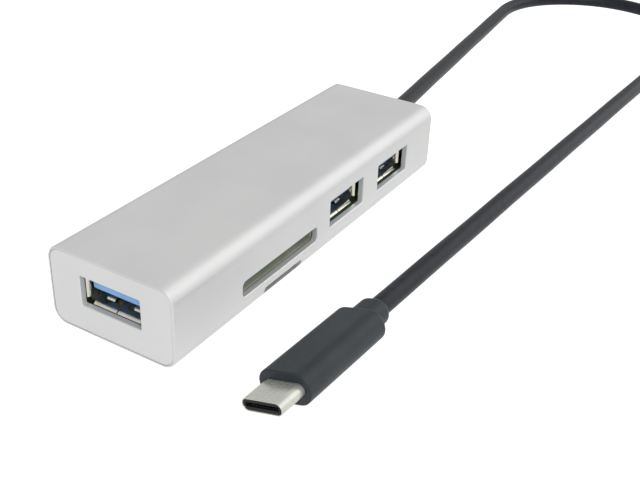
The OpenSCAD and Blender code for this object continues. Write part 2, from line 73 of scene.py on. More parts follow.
# Hole for the grommet
GROMMET_R = 3.0
# Openings: width, height and corner radius
PORT_W, PORT_H, PORT_R = 13.4, 6.0, 0.25
SD_W, SD_H, SD_R = 25.2, 3.2, 0.9
MICRO_W, MICRO_H, MICRO_R = 12.7, 1.55, 0.5
# Middle of the SD opening above the board
SD_LIFT = 2.05
# Type-A shell: its sheet, the space inside, the back end, the fold radius and where the lips begin
SHEET, USB_IN_W, USB_IN_H = 0.3, 12.5, 5.12
SHELL_BACK, FOLD_R, LIP_START = 15.5, 0.22, 0.65
# Long lips from the gap in their middle to their ends, and half the length of the side lips
LIP_GAP, LIP_REACH, SIDE_LIP = 0.12, 5.28, 2.1
# Spring fingers: place across, width, and the front, back and side gap of their windows
FINGER_X, FINGER_W = 3.1, 1.8
WINDOW_FRONT, WINDOW_BACK, WINDOW_GAP = 1.8, 7.9, 0.25
# Tongue: width, thickness, distance behind the mouth, and the base that it grows from
TONGUE_W, TONGUE_T, TONGUE_BACK = 11.1, 1.84, 0.5
TONGUE_BASE_Y, TONGUE_BASE_L = 11.2, 3.95
# Cable
CABLE_R = 2.0
# Plug: its roll in degrees, then the neck, the grip and the metal shell
PLUG_ROLL = 18.0
NECK_X, NECK_L, NECK_W, NECK_T, NECK_R = 0.9, 5.1, 6.2, 5.2, 2.5
GRIP_L, GRIP_W, GRIP_T, GRIP_R = 23.1, 10.4, 6.0, 2.7
C_W, C_T, C_OUT, C_IN, C_SHEET = 8.25, 2.4, 5.9, 5.0, 0.18
# Clearance between pieces that fit together
PLAY = 0.05
# How far a cutter stands out of the face it cuts, and how far it runs past the other side
REACH, PAST = 0.4, 0.3


# ---- Places, read from the frame ----

def corners(node):
    """Lowest and highest corner of a CAD node."""
    low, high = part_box(node)
    return low / MM, high / MM


def centre(node):
    low, high = corners(node)
    return (low + high) / 2


END_X, HALF_W, HEIGHT = corners("housing_sleeve")[1]
MID_Z = HEIGHT / 2
BOARD_TOP = corners("main_board")[1].z
INNER_W = 2 * (HALF_W - WALL)
INNER_H = HEIGHT - 2 * WALL

joint_list = {joint["name"]: joint for joint in frame["joints"]}
mount_list = {mount["name"]: mount for mount in frame["record"]["mounts"]}


def hinge_place(name):
    return Vector(joint_list[name]["pos_m"]) / MM


PLUG_JOINT = hinge_place("plug_bend")
PLUG_AXIS = (Vector(mount_list["c_plug"]["pos_m"]) / MM - PLUG_JOINT).normalized()


def axes(u, v, w, origin=(0, 0, 0)):
    """Matrix that carries local x, y and z along the directions u, v and w."""
    turn = Matrix((Vector(u), Vector(v), Vector(w))).transposed().to_4x4()
    return Matrix.Translation(Vector(origin)) @ turn


# Outlines (x, y) stacked along z, for shapes that run along the housing's X or into it along Y.
ALONG_X = axes((0, 1, 0), (0, 0, 1), (1, 0, 0))
ALONG_Y = axes((1, 0, 0), (0, 0, 1), (0, 1, 0))
ALONG_Z = Matrix.Identity(4)


def side_port_place(port):
    """Middle of a side port's mouth, level with the contacts' upper face."""
    contacts = centre(port + "_port_contacts")
    mouth_y = corners(port + "_port_tongue")[0].y - TONGUE_BACK
    top_z = corners(port + "_port_contacts")[1].z
    return Matrix.Translation((contacts.x, mouth_y, top_z))


def end_port_place():
    """Middle of the end port's mouth, turned so that its local +Y points into the housing."""
    mouth_x = corners("end_port_tongue")[0].x - TONGUE_BACK
    top_z = corners("end_port_contacts")[1].z
    return Matrix.Translation((mouth_x, 0, top_z)) @ Matrix.Rotation(math.radians(-90), 4, "Z")


PORTS = {"end": end_port_place(), "mid": side_port_place("mid"), "rear": side_port_place("rear")}


def plug_place():
    """Place of the plug: x runs to its tip, and the body is rolled about x."""
    side = Vector((0, 0, 1)).cross(PLUG_AXIS)
    level = axes(PLUG_AXIS, side, (0, 0, 1), PLUG_JOINT)
    return level @ Matrix.Rotation(math.radians(PLUG_ROLL), 4, "X")


PLUG = plug_place()


# ---- Mesh helpers ----

def outline(width, height, radius, steps=8, lift=0.0):
    """Rounded rectangle, anticlockwise, centred on (0, lift)."""
    points = []
    for quarter in range(4):
        corner_x = (width / 2 - radius) * (1 if quarter in (0, 3) else -1)
        corner_y = (height / 2 - radius) * (1 if quarter in (0, 1) else -1)
        for step in range(steps + 1):
            angle = math.radians(90 * (quarter + step / steps))
            x, y = corner_x + radius * math.cos(angle), corner_y + radius * math.sin(angle)
            points.append((x, y + lift))
    return points


def circle(radius, steps=48, lift=0.0):
    turns = [2 * math.pi * step / steps for step in range(steps)]
    return [(radius * math.cos(turn), radius * math.sin(turn) + lift) for turn in turns]


def skin(bm, rings, looped=False):
    """Faces between rings of vertices, and over both ends unless the rings form a loop."""
    pairs = list(zip(rings, rings[1:]))
    if looped:
        pairs.append((rings[-1], rings[0]))
    for first, second in pairs:
        for index in range(len(first)):
            after = (index + 1) % len(first)
            bm.faces.new((first[index], first[after], second[after], second[index]))
    if not looped:
        bm.faces.new(rings[0][::-1])
        bm.faces.new(rings[-1])


def loft(bm, sections, place, looped=False):
    """Skin over (distance, outline) sections. A looped one joins its last to its first, as a tube wall."""
    rings = []
    for distance, points in sections:
        rings.append([bm.verts.new(place @ Vector((x, y, distance))) for x, y in points])
    skin(bm, rings, looped)


def box(bm, low, high, place=ALONG_Z):
    """Box between two corners."""
    flat = [(high[0], high[1]), (low[0], high[1]), (low[0], low[1]), (high[0], low[1])]
    loft(bm, [(low[2], flat), (high[2], flat)], place)


def fillet(radius, steps=4):
    """(inset, distance) pairs of a rounded edge, from the end face to the full outline."""
    angles = [math.radians(90 * step / steps) for step in range(steps + 1)]
    return [(radius * (1 - math.sin(angle)), radius * (1 - math.cos(angle))) for angle in angles]


def bent_sheet(bm, path, thick, start, end, place):
    """Sheet of even thickness along a path of (x, y) points, from start to end across it."""
    points = [Vector(point) for point in path]
    upper, lower = [], []
    for index, point in enumerate(points):
        ahead = points[min(index + 1, len(points) - 1)] - points[max(index - 1, 0)]
        side = Vector((-ahead.y, ahead.x)).normalized() * thick / 2
        upper.append(point + side)
        lower.append(point - side)
    edge = [tuple(point) for point in upper + lower[::-1]]
    loft(bm, [(start, edge), (end, edge)], place)


def new_piece(name, draw):
    """Object whose mesh draw(bm) fills, still in millimetres."""
    bm = bmesh.new()
    draw(bm)
    bmesh.ops.recalc_face_normals(bm, faces=bm.faces)
    mesh = bpy.data.meshes.new(name)
    bm.to_mesh(mesh)
    bm.free()
    piece = bpy.data.objects.new(name, mesh)
    bpy.context.scene.collection.objects.link(piece)
    return piece


def extend(piece, draw):
    """Adds the shape that draw(bm) fills to a piece."""
    bm = bmesh.new()
    bm.from_mesh(piece.data)
    draw(bm)
    bmesh.ops.recalc_face_normals(bm, faces=bm.faces)
    bm.to_mesh(piece.data)
    bm.free()


def carve(piece, draw):
    """Cuts the shape that draw(bm) fills out of a piece."""
    cutter = new_piece("cutter", draw)
    change = piece.modifiers.new("carve", "BOOLEAN")
    change.operation = "DIFFERENCE"
    change.solver = "EXACT"
    change.object = cutter
    graph = bpy.context.evaluated_depsgraph_get()
    carved = bpy.data.meshes.new_from_object(piece.evaluated_get(graph))
    piece.modifiers.clear()
    piece.data = carved
    bpy.data.objects.remove(cutter)


def finish_piece(piece, material, body="", stands_for=(), sharp=35):
    """Scales a piece to metres, gives it its shading and material, and ties it to the frame."""
    mesh = piece.data
    mesh.transform(Matrix.Scale(MM, 4))
    mesh.materials.clear()
    mesh.materials.append(material)
    mesh.shade_smooth()
    mesh.set_sharp_from_angle(angle=math.radians(sharp))
    even = piece.modifiers.new("even_shading", "WEIGHTED_NORMAL")
    even.keep_sharp = True
    if body:
        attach(piece, body)
    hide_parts(*stands_for)


# ---- Materials ----

class Finish:
    """A node material around one Principled shader."""

    def __init__(self, name, metallic=0.0, specular=0.5):
        self.material = bpy.data.materials.new(name)
        self.material.use_nodes = True
        self.tree = self.material.node_tree
        self.shader = self.tree.nodes["Principled BSDF"]
        self.shader.inputs["Metallic"].default_value = metallic
        self.shader.inputs["Specular IOR Level"].default_value = specular
        self.place = self.node("ShaderNodeTexCoord").outputs["Object"]
        self.height = None

    def node(self, kind, **settings):
        made = self.tree.nodes.new(kind)
        for key, value in settings.items():
            setattr(made, key, value)
        return made

    def link(self, output, target):
        self.tree.links.new(output, target)

    def noise(self, size, detail=3.0, stretch=(1, 1, 1), contrast=(0.3, 0.7)):
        """Noise from 0 to 1 with features about size millimetres across, drawn out along stretch."""
        mapping = self.node("ShaderNodeMapping")
        mapping.inputs["Scale"].default_value = [1 / (size * MM * s) for s in stretch]
        self.link(self.place, mapping.inputs["Vector"])
        texture = self.node("ShaderNodeTexNoise")
        texture.inputs["Scale"].default_value = 1.0
        texture.inputs["Detail"].default_value = detail
        self.link(mapping.outputs["Vector"], texture.inputs["Vector"])
        return self.remap(texture.outputs["Fac"], contrast, (0, 1))

    def remap(self, value, source, target):
        made = self.node("ShaderNodeMapRange")
        for name, number in zip(("From Min", "From Max", "To Min", "To Max"), source + target):
            made.inputs[name].default_value = number
        self.link(value, made.inputs["Value"])
        return made.outputs["Result"]

    def blend(self, factor, first, second, mode="MIX"):
        """Mix of two colours. Each is a colour or another node's output."""
        made = self.node("ShaderNodeMix", data_type="RGBA", blend_type=mode)
        self.put(factor, made.inputs["Factor"])
        self.put(first, made.inputs["A"])
        self.put(second, made.inputs["B"])
        return made.outputs["Result"]

    def put(self, value, target):
        if isinstance(value, bpy.types.NodeSocket):
            self.link(value, target)
        elif isinstance(value, tuple):
            target.default_value = (*value, 1.0)
        else:
            target.default_value = value

    def edges(self, radius):
        """1 on edges sharper than the radius in millimetres, 0 on flat stretches."""
        bevel = self.node("ShaderNodeBevel", samples=4)
        bevel.inputs["Radius"].default_value = radius * MM
        geometry = self.node("ShaderNodeNewGeometry")
        product = self.node("ShaderNodeVectorMath", operation="DOT_PRODUCT")
        self.link(bevel.outputs["Normal"], product.inputs[0])
        self.link(geometry.outputs["Normal"], product.inputs[1])
        return self.remap(product.outputs["Value"], (0.98, 0.85), (0, 1))

    def bump(self, height, depth):
        """Adds relief, depth in millimetres, over the relief already there."""
        made = self.node("ShaderNodeBump")
        made.inputs["Distance"].default_value = depth * MM
        self.link(height, made.inputs["Height"])
        if self.height is not None:
            self.link(self.height, made.inputs["Normal"])
        self.height = made.outputs["Normal"]

    def done(self, colour, roughness):
        self.put(colour, self.shader.inputs["Base Color"])
        self.put(roughness, self.shader.inputs["Roughness"])
        if self.height is not None:
            self.link(self.height, self.shader.inputs["Normal"])
        return self.material


def blasted_aluminium(name, light, dark, rough):
    """Bead-blasted, anodised aluminium: a matt skin over metal, with a fine grain and polished edges."""
    finish = Finish(name, metallic=0.45, specular=0.3)
    cloud = finish.noise(14, detail=2)
    grain = finish.noise(0.16, detail=2)
    worn = finish.edges(0.12)
    colour = finish.blend(cloud, dark, light)
    colour = finish.blend(finish.remap(grain, (0, 1), (0, 0.12)), colour, dark)
    colour = finish.blend(finish.remap(worn, (0, 1), (0, 0.4)), colour, (0.86, 0.86, 0.85))
    finish.bump(grain, 0.006)
    return finish.done(colour, finish.remap(grain, (0, 1), (rough - 0.04, rough + 0.05)))


def plated_steel(name, light, dark, rough, relief=0.0015, metallic=1.0):
    """Nickel-plated sheet: faint drawing lines, warm tint and brighter worn edges."""
    finish = Finish(name, metallic=metallic)
    lines = finish.noise(0.25, detail=3, stretch=(1, 6, 1))
    cloud = finish.noise(3.0, detail=2)
    worn = finish.edges(0.08)
    colour = finish.blend(cloud, dark, light)
    colour = finish.blend(finish.remap(worn, (0, 1), (0, 0.6)), colour, (0.93, 0.92, 0.88))
    finish.bump(lines, relief)
    return finish.done(colour, finish.remap(lines, (0, 1), (rough - 0.03, rough + 0.04)))


def moulded(name, light, dark, rough, grain=0.2, depth=0.008, specular=0.5, patch=6.0):
    """Moulded plastic or rubber: a fine sparked texture, patches of colour and lighter edges."""
    finish = Finish(name, specular=specular)
    cloud = finish.noise(patch, detail=2)
    speckle = finish.noise(grain, detail=3)
    worn = finish.edges(0.15)
    colour = finish.blend(cloud, dark, light)
    polished = tuple(min(1.0, 1.6 * channel) for channel in light)
    colour = finish.blend(finish.remap(worn, (0, 1), (0, 0.25)), colour, polished)
    finish.bump(speckle, depth)
    return finish.done(colour, finish.remap(speckle, (0, 1), (rough - 0.05, rough + 0.07)))


def solder_mask():
    """Olive-green board: copper tracks that show through the mask, over the weave of the glass."""
    finish = Finish("board_material", specular=0.6)
    tracks = finish.node("ShaderNodeTexBrick")
    tracks.inputs["Scale"].default_value = 1 / (5 * MM)
    tracks.inputs["Mortar Size"].default_value = 0.03
    tracks.inputs["Color1"].default_value = (0, 0, 0, 1)
    tracks.inputs["Color2"].default_value = (0, 0, 0, 1)
    tracks.inputs["Mortar"].default_value = (1, 1, 1, 1)
    finish.link(finish.place, tracks.inputs["Vector"])
    weave = finish.noise(0.5, detail=1, stretch=(1, 3, 1))
    colour = finish.blend(weave, (0.035, 0.06, 0.02), (0.05, 0.08, 0.03))
    colour = finish.blend(tracks.outputs["Color"], colour, (0.09, 0.16, 0.06))
    finish.bump(tracks.outputs["Fac"], 0.02)
    return finish.done(colour, finish.remap(weave, (0, 1), (0.3, 0.42)))


def gold_plate():
    """Thin, slightly uneven gold over the contacts."""
    finish = Finish("contact_material", metallic=1.0)
    cloud = finish.noise(0.8, detail=3)
    colour = finish.blend(cloud, (0.5, 0.4, 0.22), (0.66, 0.55, 0.33))
    finish.bump(finish.noise(0.08, detail=2), 0.002)
    return finish.done(colour, finish.remap(cloud, (0, 1), (0.2, 0.34)))


def wire_colours():
    """Insulation of the five wires, told apart by their place across the housing."""
    finish = Finish("wire_material", specular=0.5)
    split = finish.node("ShaderNodeSeparateXYZ")
    finish.link(finish.place, split.inputs["Vector"])
    half = abs(corners("cable_wires")[0].y) * MM
    ramp = finish.node("ShaderNodeValToRGB")
    ramp.color_ramp.interpolation = "CONSTANT"
    red, black, green = (0.5, 0.03, 0.02), (0.02, 0.02, 0.02), (0.03, 0.3, 0.08)
    white, blue = (0.8, 0.8, 0.76), (0.03, 0.08, 0.4)
    colours = [red, black, green, white, blue]
    while len(ramp.color_ramp.elements) < len(colours):
        ramp.color_ramp.elements.new(0.5)
    for index, colour in enumerate(colours):
        ramp.color_ramp.elements[index].position = index / len(colours)
        ramp.color_ramp.elements[index].color = (*colour, 1)
    finish.link(finish.remap(split.outputs["Y"], (-half, half), (0, 1)), ramp.inputs["Fac"])
    dirt = finish.noise(0.6, detail=2)
    colour = finish.blend(finish.remap(dirt, (0, 1), (0, 0.15)), ramp.outputs["Color"], (0.2, 0.2, 0.2))
    finish.bump(dirt, 0.01)
    return finish.done(colour, finish.remap(dirt, (0, 1), (0.38, 0.5)))


SLEEVE_METAL = blasted_aluminium("sleeve_material", (0.66, 0.665, 0.655), (0.62, 0.625, 0.62), 0.42)
CAP_METAL = blasted_aluminium("cap_material", (0.705, 0.71, 0.705), (0.67, 0.675, 0.67), 0.5)
PORT_STEEL = plated_steel("port_material", (0.78, 0.76, 0.68), (0.66, 0.64, 0.56), 0.22)
SOCKET_STEEL = plated_steel("socket_cover_material", (0.62, 0.62, 0.58), (0.5, 0.5, 0.46), 0.32)
PLUG_STEEL = plated_steel("plug_shell_material", (0.62, 0.63, 0.56), (0.55, 0.56, 0.5), 0.28,
                          relief=0.0003, metallic=0.6)
CAN_STEEL = plated_steel("can_material", (0.66, 0.66, 0.64), (0.55, 0.55, 0.53), 0.3)
SPRING_STEEL = plated_steel("spring_material", (0.55, 0.55, 0.56), (0.4, 0.4, 0.41), 0.3)
TONGUE_PLASTIC = moulded("tongue_material", (0.22, 0.44, 0.8), (0.19, 0.39, 0.72), 0.38, grain=0.12)
BLACK_PLASTIC = moulded("black_plastic_material", (0.012, 0.012, 0.014), (0.008, 0.008, 0.01),
                        0.45, specular=0.2)
SOCKET_PLASTIC = moulded("socket_plastic_material", (0.33, 0.36, 0.29), (0.25, 0.28, 0.22),
                         0.45, specular=0.3)
FRAME_PLASTIC = moulded("frame_plastic_material", (0.16, 0.15, 0.1), (0.12, 0.11, 0.07), 0.5)
CHIP_PLASTIC = moulded("chip_material", (0.035, 0.035, 0.037), (0.02, 0.02, 0.022), 0.55, grain=0.08)
FERRITE = moulded("ferrite_material", (0.11, 0.11, 0.115), (0.07, 0.07, 0.075), 0.6, grain=0.1, depth=0.02)
CERAMIC = moulded("ceramic_material", (0.4, 0.28, 0.16), (0.3, 0.2, 0.11), 0.45, grain=0.1)
FILM = moulded("resistor_material", (0.03, 0.03, 0.035), (0.02, 0.02, 0.024), 0.35, grain=0.1)
SLIDER_PLASTIC = moulded("slider_material", (0.7, 0.67, 0.58), (0.6, 0.57, 0.49), 0.42)
# Jacket colour: the cable's own black, with a bluish tint painted into the base colour that stands in for the
# bluish sheen of its reflections.
JACKET = moulded("jacket_material", (0.009, 0.013, 0.02), (0.004, 0.006, 0.01),
                 0.4, grain=0.3, specular=0.28, patch=1.6)
# Overmould colour: the rubber's own black, with a bluish tint painted into the base colour that stands in for the
# bluish sheen along its rounded sides.
RUBBER = moulded("overmould_material", (0.02, 0.027, 0.032), (0.014, 0.02, 0.025),
                 0.42, grain=0.14, specular=0.35)
BOARD = solder_mask()
GOLD = gold_plate()
WIRES = wire_colours()


# ---- Housing ----

def profile(shrink=0.0):
    """Outline of the housing across X."""
    return outline(2 * (HALF_W - shrink), HEIGHT - 2 * shrink, CORNER_R - shrink, lift=MID_Z)


def inner_profile(grow=0.0):
    """Outline of the space inside the sleeve."""
    return outline(INNER_W + 2 * grow, INNER_H + 2 * grow, CORNER_R - WALL + grow, lift=MID_Z)


def opening(bm, place, width, height, radius, depth):
    """Cutter for an opening with a chamfered outer edge. The outer face is at 0 along the place's z."""
    grow = EDGE + REACH
    wide = outline(width + 2 * grow, height + 2 * grow, radius + grow)
    exact = outline(width, height, radius)
    loft(bm, [(-REACH, wide), (EDGE, exact), (depth, exact)], place)


def side_openings(bm):
    """Cutters for the two side ports and the two card slots, deep enough to clear the rounded corner."""
    through = CORNER_R + 0.5

    def cut(x, z, *size):
        opening(bm, Matrix.Translation((x, -HALF_W, z)) @ ALONG_Y, *size, through)

    for port in ("mid", "rear"):
        mouth = PORTS[port].translation
        cut(mouth.x, mouth.z, PORT_W, PORT_H, PORT_R)
    cut(centre("sd_socket_base").x, BOARD_TOP + SD_LIFT, SD_W, SD_H, SD_R)
    cut(centre("micro_socket_base").x, WALL + PLAY + MICRO_H / 2, MICRO_W, MICRO_H, MICRO_R)


def sleeve_tube(bm):
    """Extrusion with rounded ends and a rebate in each end for a plate."""
    seat = END_X - CAP_T
    outer = [(distance - END_X, profile(inset)) for inset, distance in fillet(RIM_EDGE)]
    outer += [(END_X - distance, profile(inset)) for inset, distance in fillet(RIM_EDGE)[::-1]]
    inner = [(END_X, profile(RIM_T)), (seat, profile(RIM_T)), (seat, inner_profile()),
             (-seat, inner_profile()), (-seat, profile(RIM_T)), (-END_X, profile(RIM_T))]
    loft(bm, outer + inner, ALONG_X, looped=True)


def make_sleeve():
    sleeve = new_piece("sleeve", sleeve_tube)
    carve(sleeve, side_openings)
    finish_piece(sleeve, SLEEVE_METAL, "housing", ["housing_sleeve"])


def cap_body(side):
    """Plate that lies flush in the sleeve's end, with a collar inside. side is -1 at the port end.

    Behind its rounded edge the plate steps out to the rim, so that the seam is a shallow groove.
    """
    place = ALONG_X if side > 0 else axes((0, 1, 0), (0, 0, 1), (-1, 0, 0))
    seat = END_X - CAP_T
    margin = RIM_T + SEAM_W
    step = END_X - PLATE_EDGE - 0.02
    foot_margin = RIM_T + 0.01

    def draw(bm):
        face_edge = [(END_X - distance, profile(margin + inset)) for inset, distance in fillet(PLATE_EDGE)]
        foot = [(seat, profile(foot_margin)), (step, profile(foot_margin)), (step, profile(margin))]
        loft(bm, foot + face_edge[::-1], place)
        ends = (seat - COLLAR_L, seat)
        outer = [(x, inner_profile(-PLAY)) for x in ends]
        inner = [(x, inner_profile(-PLAY - COLLAR_WALL)) for x in ends[::-1]]
        loft(bm, outer + inner, place, looped=True)

    return draw


def make_caps():
    front = new_piece("end_plate", cap_body(-1))
    port = PORTS["end"].translation
    inward = axes((0, -1, 0), (0, 0, 1), (1, 0, 0), (-END_X, port.y, port.z))
    carve(front, lambda bm: opening(bm, inward, PORT_W, PORT_H, PORT_R, CAP_T + PAST))
    finish_piece(front, CAP_METAL, "housing", ["front_cap"])

    rear = new_piece("cable_plate", cap_body(1))
    hole = GROMMET_R + PLAY
    sections = [(END_X - CAP_T - PAST, circle(hole)), (END_X - EDGE, circle(hole)),
                (END_X + REACH, circle(hole + EDGE + REACH))]
    carve(rear, lambda bm: loft(bm, sections, Matrix.Translation((0, 0, MID_Z)) @ ALONG_X))
    finish_piece(rear, CAP_METAL, "housing", ["rear_cap"])


# ---- Type-A ports, drawn with the mouth at y = 0, the plug entering along +Y and z = 0 at mid height ----

def port_tube(place):
    """Folded sheet shell with its back wall."""
    out_w, out_h = USB_IN_W + 2 * SHEET, USB_IN_H + 2 * SHEET
    plate_w, plate_h = USB_IN_W + 2 * PLAY, USB_IN_H + 2 * PLAY

    def draw(bm):
        deep = place @ ALONG_Y
        outer = outline(out_w, out_h, FOLD_R + SHEET, 4)
        inner = outline(USB_IN_W, USB_IN_H, FOLD_R, 4)
        wall = [(LIP_START, outer), (SHELL_BACK, outer), (SHELL_BACK, inner), (LIP_START, inner)]
        loft(bm, wall, deep, looped=True)
        plate = outline(plate_w, plate_h, FOLD_R, 4)
        loft(bm, [(SHELL_BACK - SHEET, plate), (SHELL_BACK - PLAY, plate)], deep)

    return draw


def port_windows(place):
    """Cutters for the slots round the four spring fingers."""
    top = USB_IN_H / 2 + SHEET
    under = top - SHEET - 0.2
    half = FINGER_W / 2 + WINDOW_GAP

    def draw(bm):
        for middle in (-FINGER_X, FINGER_X):
            for low, high in ((-top - PAST, -under), (under, top + PAST)):
                box(bm, (middle - half, WINDOW_FRONT, low), (middle + half, WINDOW_BACK, high), place)

    return draw


def port_springs(place):
    """Lips bent outwards round the mouth, and spring fingers bent inwards in the windows."""
    skin_x, skin_z = (USB_IN_W + SHEET) / 2, (USB_IN_H + SHEET) / 2
    lip = [(1.4, 0.0), (LIP_START, 0.0), (0.42, 0.07), (0.22, 0.22), (0.04, 0.4)]
    finger = [(8.2, 0.0), (7.4, 0.03), (4.4, 0.34), (3.1, 0.54), (2.6, 0.54), (2.25, 0.36), (2.1, 0.06)]

    def draw(bm):
        across = place @ axes((0, 1, 0), (0, 0, 1), (1, 0, 0))
        upright = place @ axes((0, 1, 0), (1, 0, 0), (0, 0, 1))
        for sign in (-1, 1):
            for tab in ((-LIP_REACH, -LIP_GAP), (LIP_GAP, LIP_REACH)):
                path = [(y, sign * (skin_z + out)) for y, out in lip]
                bent_sheet(bm, path, SHEET, *tab, across)
            path = [(y, sign * (skin_x + out)) for y, out in lip]
            bent_sheet(bm, path, SHEET, -SIDE_LIP, SIDE_LIP, upright)
            path = [(y, sign * (skin_z - inward)) for y, inward in finger]
            for middle in (-FINGER_X, FINGER_X):
                bent_sheet(bm, path, SHEET, middle - FINGER_W / 2, middle + FINGER_W / 2, across)

    return draw


def tongue_shape(place):
    """Tongue with a rounded nose, let into the block that fills the back of the shell."""
    edge_r, nose_r, base_r, overlap = 0.3, 0.28, 0.15, 0.5

    def slab(inset):
        return outline(TONGUE_W - 2 * inset, TONGUE_T - 2 * inset, edge_r, 4, TONGUE_T / 2)

    def draw(bm):
        deep = place @ ALONG_Y
        nose = [(TONGUE_BACK + distance, slab(inset)) for inset, distance in fillet(nose_r)]
        loft(bm, nose + [(TONGUE_BASE_Y + overlap, slab(0.0))], deep)
        base_low = BOARD_TOP - place.translation.z
        base_top = USB_IN_H / 2 - PLAY
        middle = (base_top + base_low) / 2
        base = outline(USB_IN_W - 2 * PLAY, base_top - base_low, base_r, 4, middle)
        loft(bm, [(TONGUE_BASE_Y, base), (TONGUE_BASE_Y + TONGUE_BASE_L, base)], deep)

    return draw


def make_ports():
    """Shell and tongue of each port. The contacts stay as CAD nodes."""
    for port, place in PORTS.items():
        shell = new_piece(port + "_receptacle", port_tube(place))
        carve(shell, port_windows(place))
        extend(shell, port_springs(place))
        finish_piece(shell, PORT_STEEL, "housing", [port + "_port_shell"])
        tongue = new_piece(port + "_tongue", tongue_shape(place))
        finish_piece(tongue, TONGUE_PLASTIC, "housing", [port + "_port_tongue"])


# ---- Return spring of the microSD socket ----

def make_push_spring():
    """Coil of the return spring that the slider is pushed back on, drawn at the length of the CAD spring."""
    low, high = corners("micro_spring")
    middle = (low + high) / 2
    wire_r, turns, steps, sides = 0.09, 4, 24, 10
    coil_r = (high.z - low.z) / 2 - wire_r
    run = high.y - low.y - 2 * wire_r
    along = Vector((0, 1, 0))

    def draw(bm):
        rings = []
        for step in range(turns * steps + 1):
            angle = 2 * math.pi * step / steps
            outward = Vector((math.cos(angle), 0, math.sin(angle)))
            travelled = low.y + wire_r + run * step / (turns * steps)
            core = Vector((middle.x, travelled, middle.z)) + coil_r * outward
            around = circle(wire_r, sides)
            rings.append([bm.verts.new(core + out * outward + ahead * along) for out, ahead in around])
        skin(bm, rings)

    spring = new_piece("push_spring", draw)
    finish_piece(spring, SPRING_STEEL, "housing", ["micro_spring"])
    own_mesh(spring)


# ---- Cable ----

HINGES = (["cable_exit_bend", "hub_run_bend_2", "hub_run_bend_3", "loop_open"]
          + [f"loop_open_{number}" for number in range(2, 11)]
          + ["plug_run_bend_2", "plug_run_bend_3", "plug_bend"])


def circle_centre(a, b, c):
    """Centre of the level circle through three points."""
    ab, ac = b - a, c - a
    turn = 2 * (ab.x * ac.y - ab.y * ac.x)
    x = (ac.y * ab.length_squared - ab.y * ac.length_squared) / turn
    y = (ab.x * ac.length_squared - ac.x * ab.length_squared) / turn
    return a + Vector((x, y, 0))


class CablePath:
    """The cable's centre line: stretch k ends at hinge k, and the last one runs on into the plug."""

    def __init__(self):
        start = Vector((END_X + 0.2, 0, MID_Z))
        finish = PLUG_JOINT + PLUG_AXIS * (NECK_X + 1.5)
        self.knots = [start] + [hinge_place(name) for name in HINGES] + [finish]
        loop = [hinge_place(name) for name in ("loop_open", "loop_open_5", "loop_open_10")]
        self.loop_centre = circle_centre(*loop)
        self.first_arc = HINGES.index("loop_open") + 1
        self.last_arc = HINGES.index("loop_open_10")

    def arc(self, stretch):
        """Whether a stretch is part of the round loop."""
        return self.first_arc <= stretch <= self.last_arc

    def turn(self, stretch):
        """Signed angle of an arc stretch, about the loop's centre."""
        first, last = self.knots[stretch] - self.loop_centre, self.knots[stretch + 1] - self.loop_centre
        return math.atan2(first.x * last.y - first.y * last.x, first.x * last.x + first.y * last.y)

    def point(self, stretch, share):
        first, last = self.knots[stretch], self.knots[stretch + 1]
        if not self.arc(stretch):
            return first.lerp(last, share)
        spoke = first - self.loop_centre
        spoke.rotate(Matrix.Rotation(self.turn(stretch) * share, 3, "Z"))
        return self.loop_centre + spoke

    def heading(self, stretch, share):
        if not self.arc(stretch):
            return (self.knots[stretch + 1] - self.knots[stretch]).normalized()
        spoke = self.point(stretch, share) - self.loop_centre
        side = Vector((-spoke.y, spoke.x, 0)) * math.copysign(1, self.turn(stretch))
        return side.normalized()

    def length(self, stretch):
        """Length of one stretch along the centre line."""
        if not self.arc(stretch):
            return (self.knots[stretch + 1] - self.knots[stretch]).length
        return abs(self.turn(stretch)) * (self.knots[stretch] - self.loop_centre).length

    def begin(self, stretch):
        """Length of cable before a stretch."""
        return sum(self.length(earlier) for earlier in range(stretch))


def jacket_ring(bm, middle, heading, travel, sides=32):
    """One ring of the jacket, faintly fluted where the wires inside press on it."""
    lay, dent = 34.0, 0.025
    across = heading.cross(Vector((0, 0, 1))).normalized()
    upward = across.cross(heading)
    ring = []
    for side in range(sides):
        angle = 2 * math.pi * side / sides
        radius = CABLE_R - dent * (1 - math.cos(3 * angle - 2 * math.pi * travel / lay))
        ring.append(bm.verts.new(middle + radius * (math.cos(angle) * across + math.sin(angle) * upward)))
    return ring


def jacket_piece(path, hinge):
    """Jacket across one hinge, from the middle of the stretch before it to the middle of the one after."""
    spacing = 1.5
    before, after = hinge, hinge + 1
    share_from = 0.0 if hinge == 0 else 0.5
    share_to = 1.0 if hinge == len(HINGES) - 1 else 0.5
    stops = []
    for stretch, low, high in ((before, share_from, 1.0), (after, 0.0, share_to)):
        count = max(2, round(path.length(stretch) * (high - low) / spacing))
        skip = 1 if stretch == after else 0
        stops += [(stretch, low + (high - low) * index / count) for index in range(skip, count + 1)]

    def draw(bm):
        rings = []
        for stretch, share in stops:
            heading = path.heading(stretch, share)
            if (stretch, share) == (before, 1.0):
                heading = (heading + path.heading(after, 0.0)).normalized()
            travel = path.begin(stretch) + share * path.length(stretch)
            rings.append(jacket_ring(bm, path.point(stretch, share), heading, travel))
        skin(bm, rings)

    return draw


def make_cable():
    """One jacket piece over each hinge."""
    path = CablePath()
    reach_limit, margin = 6.0, 0.4
    # The first piece covers two nodes, and the last one none, because the plug has its own pieces.
    stands_for = {"cable_exit_bend": ["cable_stub", "cable_hub_run_1"], "plug_bend": []}
    for index, name in enumerate(HINGES):
        joint = joint_list[name]
        nodes = stands_for.get(name, [joint["child"]])
        piece = new_piece("jacket_" + name, jacket_piece(path, index))
        finish_piece(piece, JACKET, stands_for=nodes)
        place = path.knots[index + 1]
        back = path.length(index) * (1.0 if index == 0 else 0.5) - margin
        ahead = path.length(index + 1) * 0.5 - margin
        start = place - path.heading(index, 1.0) * min(back, reach_limit)
        end = place + path.heading(index + 1, 0.0) * min(ahead, reach_limit)
        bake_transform(piece)


